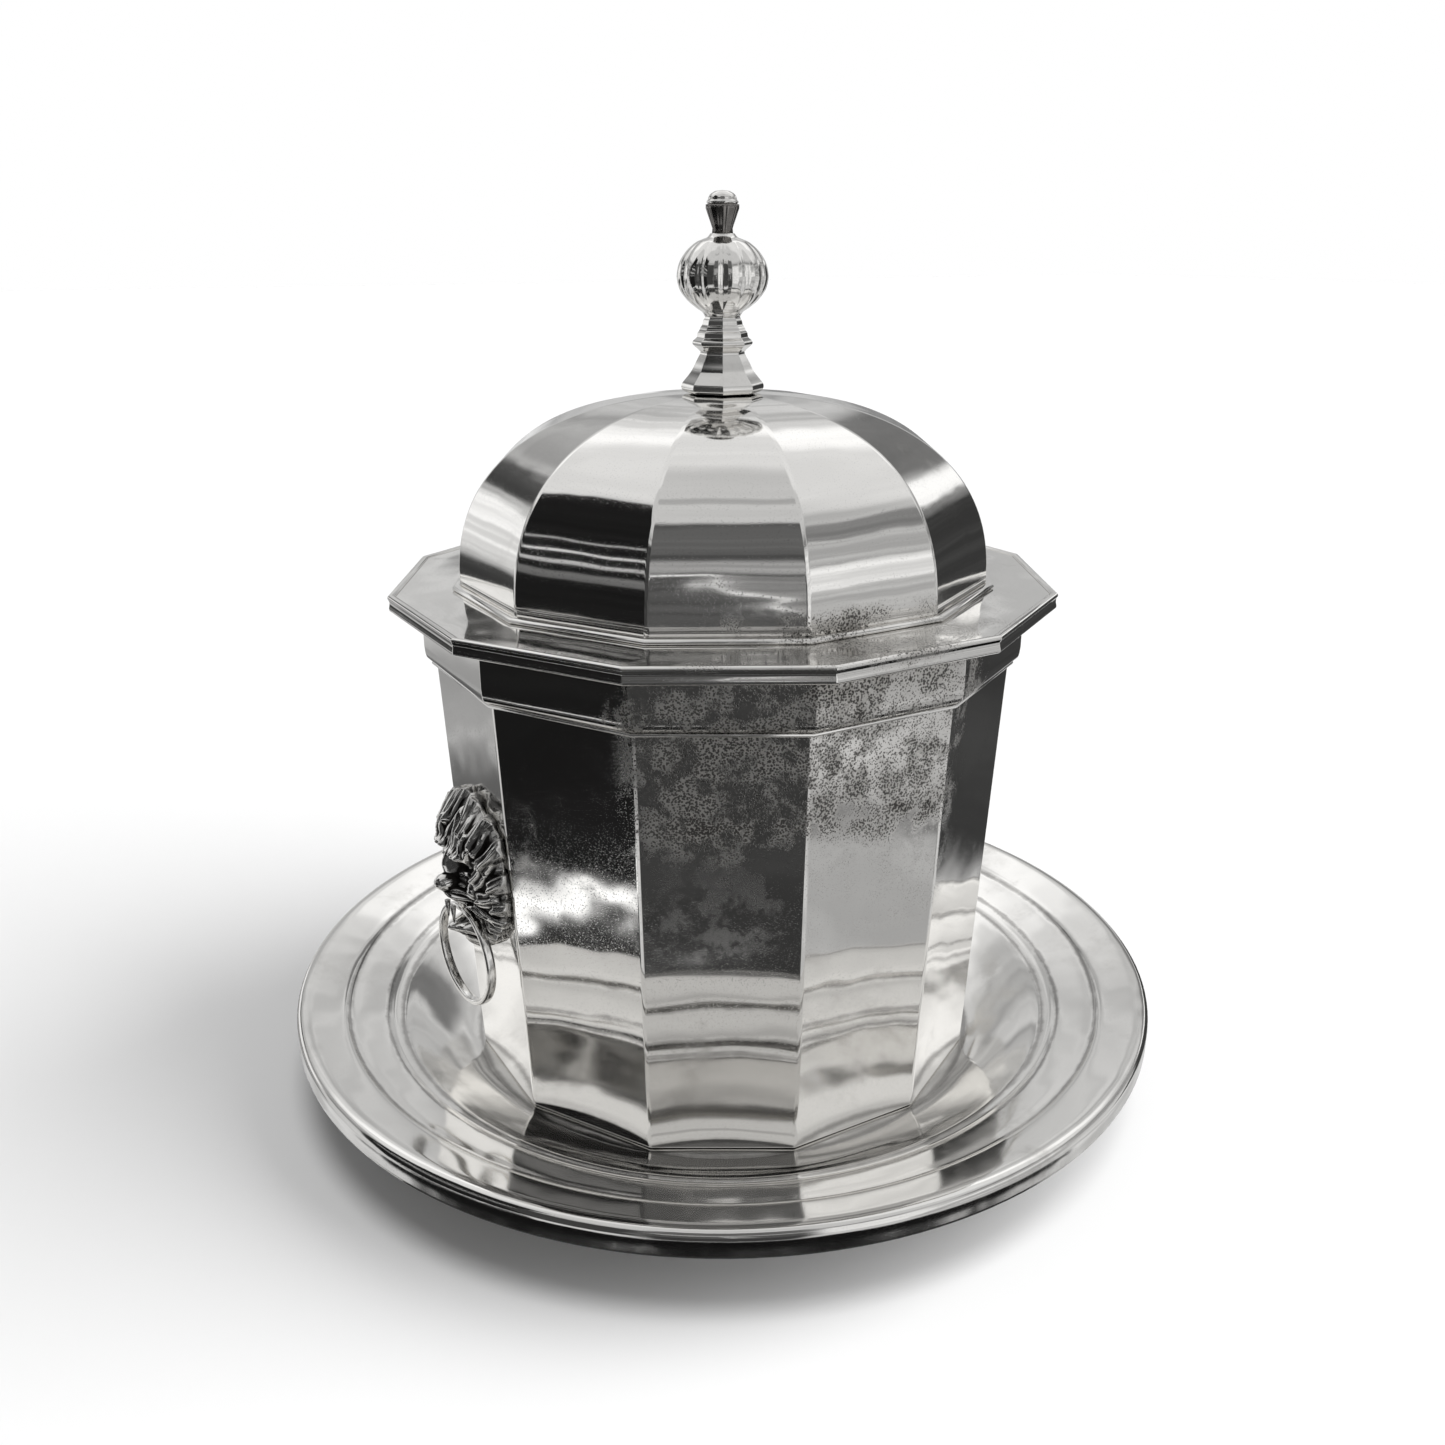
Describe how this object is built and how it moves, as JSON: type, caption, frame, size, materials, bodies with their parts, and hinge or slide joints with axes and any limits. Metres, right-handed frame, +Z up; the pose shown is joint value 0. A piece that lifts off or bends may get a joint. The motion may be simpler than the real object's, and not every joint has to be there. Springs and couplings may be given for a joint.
{
  "type": "covered sugar bowl",
  "caption": "Faceted covered bowl on a round dished stand, with a lift-off domed lid, a lobed finial and lion-mask drop-ring handles.",
  "frame": {"origin": "on the table under the centre of the foot ring", "axes": "+Z up; the two lion masks with their rings are on -X and +X"},
  "size_m": [0.1936, 0.1936, 0.1907],
  "materials": {
    "sheet_silver": "polished silver sheet, scratched and spotted with tarnish",
    "cast_silver": "cast silver, darkened in the recesses",
    "plated_brass": "worn plate over brass"
  },
  "bodies": {
    "bowl": {"tray": "sheet_silver", "tray_edge_wire": "sheet_silver", "tray_foot_ring": "sheet_silver", "bowl_wall": "sheet_silver", "bowl_base": "sheet_silver", "rim_band": "sheet_silver", "band_wire": "sheet_silver", "centre_screw": "plated_brass", "centre_washer": "plated_brass", "centre_nut": "plated_brass", "mask_left": "cast_silver", "mask_right": "cast_silver", "mask_stud_left": "plated_brass", "mask_stud_right": "plated_brass", "mask_nut_left": "plated_brass", "mask_nut_right": "plated_brass"},
    "lid": {"lid_flange": "sheet_silver", "flange_edge": "sheet_silver", "lid_dome": "sheet_silver", "dome_bead": "sheet_silver", "lid_rim": "sheet_silver", "finial_foot": "cast_silver", "finial_baluster": "cast_silver", "finial_melon": "cast_silver", "finial_bud": "cast_silver", "finial_cap": "cast_silver", "finial_stud": "plated_brass", "finial_washer": "plated_brass", "finial_nut": "plated_brass"},
    "ring_left": {"ring_left": "cast_silver"},
    "ring_right": {"ring_right": "cast_silver"}
  },
  "joints": [
    {"name": "lid_lift", "type": "slide", "parent": "bowl", "child": "lid", "axis": [0, 0, 1], "range_m": [0, 0.12]},
    {"name": "ring_left_swing", "type": "hinge", "parent": "bowl", "child": "ring_left", "pos_m": [-0.0629, 0, 0.0505], "axis": [0, 1, 0], "range_deg": [-4, 95]},
    {"name": "ring_right_swing", "type": "hinge", "parent": "bowl", "child": "ring_right", "pos_m": [0.0629, 0, 0.0505], "axis": [0, -1, 0], "range_deg": [-4, 95]}
  ]
}
